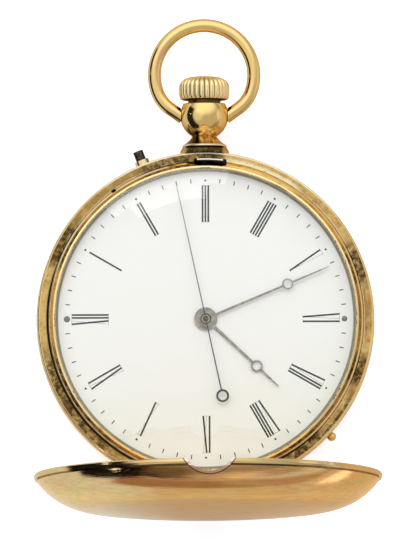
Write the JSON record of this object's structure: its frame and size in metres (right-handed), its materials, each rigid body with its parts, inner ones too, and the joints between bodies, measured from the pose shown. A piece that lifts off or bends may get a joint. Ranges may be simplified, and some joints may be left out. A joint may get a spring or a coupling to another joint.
{
  "type": "pocket watch",
  "caption": "Full hunter pocket watch with hinged front lid, back cover and cuvette, swinging bow, keyless winding and a visible gear train",
  "frame": {"origin": "centre of the flat on the back cover that the watch rests on", "axes": "+Z out of the dial, +Y to the pendant and bow, +X to the right seen from the dial; lids hinge at -Y"},
  "size_m": [0.05, 0.0744, 0.0585],
  "materials": {
    "case_gold": "polished gold",
    "steel": "polished",
    "blued_steel": "blued",
    "movement_plate": "striped",
    "movement_gilt": "gilt",
    "enamel": "white enamel",
    "crystal": "clear",
    "ruby": "clear red"
  },
  "bodies": {
    "case": {"case_middle": "case_gold", "pendant": "case_gold", "front_hinge_pin": "case_gold", "back_hinge_pin": "case_gold", "cuvette_hinge_pin": "case_gold", "bezel": "case_gold", "crystal": "crystal", "dial": "enamel", "main_plate": "movement_plate", "barrel_bridge": "movement_plate", "train_bridge": "movement_plate", "seconds_cock": "movement_plate", "pallet_cock": "movement_plate", "balance_cock": "movement_plate", "regulator": "steel", "jewels": "ruby", "bridge_screws": "blued_steel", "case_screws": "blued_steel", "fly_spring": "steel", "click_spring": "steel"},
    "lid": {"front_lid": "case_gold"},
    "back": {"back_cover": "case_gold"},
    "dust_cover": {"cuvette": "case_gold"},
    "bow_ring": {"bow": "case_gold"},
    "winding": {"winding_pinion": "steel", "clutch_wheel": "steel"},
    "crown_and_stem": {"crown": "case_gold", "winding_stem": "steel"},
    "crown_gear": {"crown_wheel": "steel"},
    "ratchet": {"ratchet_wheel": "steel", "barrel_arbor": "steel"},
    "click_lever": {"click": "steel"},
    "barrel": {"barrel_drum": "movement_plate", "barrel_lid": "movement_plate", "mainspring": "steel"},
    "centre": {"centre_wheel": "movement_gilt", "cannon_pinion": "steel", "minute_hand": "blued_steel"},
    "third": {"third_wheel": "movement_gilt"},
    "fourth": {"fourth_wheel": "movement_gilt"},
    "sweep": {"seconds_pinion": "steel", "seconds_hand": "blued_steel"},
    "escape": {"escape_wheel": "steel"},
    "minute_works": {"minute_wheel": "movement_gilt"},
    "hour": {"hour_wheel": "movement_gilt", "hour_hand": "blued_steel"},
    "balance": {"balance_wheel": "movement_gilt", "balance_staff": "steel", "hairspring": "blued_steel"},
    "pallets": {"pallet_fork": "steel"},
    "lock": {"lock_spring": "steel"},
    "push_piece": {"set_pin": "steel"},
    "set_lever": {"setting_lever": "steel"}
  },
  "joints": [
    {"name": "lid_hinge", "type": "hinge", "parent": "case", "child": "lid", "pos_m": [0, -0.0252, 0.0086], "axis": [1, 0, 0], "range_deg": [-86, 0], "stiffness_Nm_per_rad": 0.0015, "springref_deg": 34.38},
    {"name": "back_hinge", "type": "hinge", "parent": "case", "child": "back", "pos_m": [0, -0.0252, 0.0044], "axis": [-1, 0, 0], "range_deg": [0, 105]},
    {"name": "cuvette_hinge", "type": "hinge", "parent": "case", "child": "dust_cover", "pos_m": [0, -0.0234, 0.00393], "axis": [-1, 0, 0], "range_deg": [0, 95]},
    {"name": "bow_swing", "type": "hinge", "parent": "case", "child": "bow_ring", "pos_m": [0, 0.0302, 0.0065], "axis": [1, 0, 0], "range_deg": [-85, 85]},
    {"name": "crown_turn", "type": "hinge", "parent": "case", "child": "winding", "pos_m": [0, 0.01629, 0.0065], "axis": [0, 1, 0], "continuous": true},
    {"name": "crown_wheel_turn", "type": "hinge", "parent": "case", "child": "crown_gear", "pos_m": [0, 0.01162, 0.0048], "axis": [0, 0, 1], "continuous": true},
    {"name": "ratchet_turn", "type": "hinge", "parent": "case", "child": "ratchet", "pos_m": [-0.00857, 0.00495, 0.0048], "axis": [0, 0, 1], "continuous": true},
    {"name": "crown_press", "type": "slide", "parent": "winding", "child": "crown_and_stem", "axis": [0, -1, 0], "range_m": [0, 0.00045], "stiffness_N_per_m": 2500, "springref_m": -0.0002},
    {"name": "lock_spring_flex", "type": "hinge", "parent": "case", "child": "lock", "pos_m": [0.0198, 0.0119, 0.0065], "axis": [0, 0, 1], "range_deg": [0, 1.15]},
    {"name": "click_rock", "type": "hinge", "parent": "case", "child": "click_lever", "pos_m": [-0.01165, 0.01255, 0.0048], "axis": [0, 0, 1], "range_deg": [-6, 6], "stiffness_Nm_per_rad": 0.00002},
    {"name": "centre_turn", "type": "hinge", "parent": "case", "child": "centre", "pos_m": [0, 0, 0.0066], "axis": [0, 0, -1], "continuous": true},
    {"name": "barrel_turn", "type": "hinge", "parent": "case", "child": "barrel", "pos_m": [-0.00857, 0.00495, 0.007], "axis": [0, 0, -1], "continuous": true},
    {"name": "third_turn", "type": "hinge", "parent": "case", "child": "third", "pos_m": [0.00709, 0.00125, 0.0064], "axis": [0, 0, -1], "continuous": true},
    {"name": "fourth_turn", "type": "hinge", "parent": "case", "child": "fourth", "pos_m": [0.0055, -0.00448, 0.0064], "axis": [0, 0, -1], "continuous": true},
    {"name": "seconds_turn", "type": "hinge", "parent": "case", "child": "sweep", "pos_m": [0, 0, 0.0041], "axis": [0, 0, -1], "continuous": true},
    {"name": "escape_turn", "type": "hinge", "parent": "case", "child": "escape", "pos_m": [0.00103, -0.00805, 0.0064], "axis": [0, 0, -1], "continuous": true},
    {"name": "minute_wheel_turn", "type": "hinge", "parent": "case", "child": "minute_works", "pos_m": [0.00291, -0.00168, 0.0078], "axis": [0, 0, -1], "continuous": true},
    {"name": "hour_turn", "type": "hinge", "parent": "case", "child": "hour", "pos_m": [0, 0, 0.0082], "axis": [0, 0, -1], "continuous": true},
    {"name": "balance_swing", "type": "hinge", "parent": "case", "child": "balance", "pos_m": [-0.00748, -0.0097, 0.0047], "axis": [0, 0, 1], "range_deg": [-270, 270], "stiffness_Nm_per_rad": 0.00000025, "deforming": ["hairspring"]},
    {"name": "pallet_rock", "type": "hinge", "parent": "case", "child": "pallets", "pos_m": [-0.00238, -0.00871, 0.006], "axis": [0, 0, 1], "range_deg": [-5, 5]},
    {"name": "set_pin_press", "type": "slide", "parent": "case", "child": "push_piece", "axis": [0.3681, -0.9298, 0], "range_m": [0, 0.0008], "stiffness_N_per_m": 600, "springref_m": -0.0003},
    {"name": "setting_lever_rock", "type": "hinge", "parent": "case", "child": "set_lever", "pos_m": [-0.01244, 0.01592, 0.0064], "axis": [0, 0, -1], "range_deg": [0, 10]}
  ],
  "couplings": [
    {"joint": "cuvette_hinge", "follows": "back_hinge", "ratio": 0.88},
    {"joint": "crown_wheel_turn", "follows": "crown_turn", "ratio": 0.33333},
    {"joint": "ratchet_turn", "follows": "crown_turn", "ratio": -0.27586},
    {"joint": "lock_spring_flex", "follows": "crown_press", "rad_per_m": 42.871},
    {"joint": "barrel_turn", "follows": "centre_turn", "ratio": -0.125},
    {"joint": "third_turn", "follows": "centre_turn", "ratio": -8},
    {"joint": "fourth_turn", "follows": "centre_turn", "ratio": 60},
    {"joint": "seconds_turn", "follows": "centre_turn", "ratio": 60},
    {"joint": "escape_turn", "follows": "centre_turn", "ratio": -600},
    {"joint": "minute_wheel_turn", "follows": "centre_turn", "ratio": -0.33333},
    {"joint": "hour_turn", "follows": "centre_turn", "ratio": 0.083333},
    {"joint": "setting_lever_rock", "follows": "set_pin_press", "rad_per_m": 162.4}
  ]
}
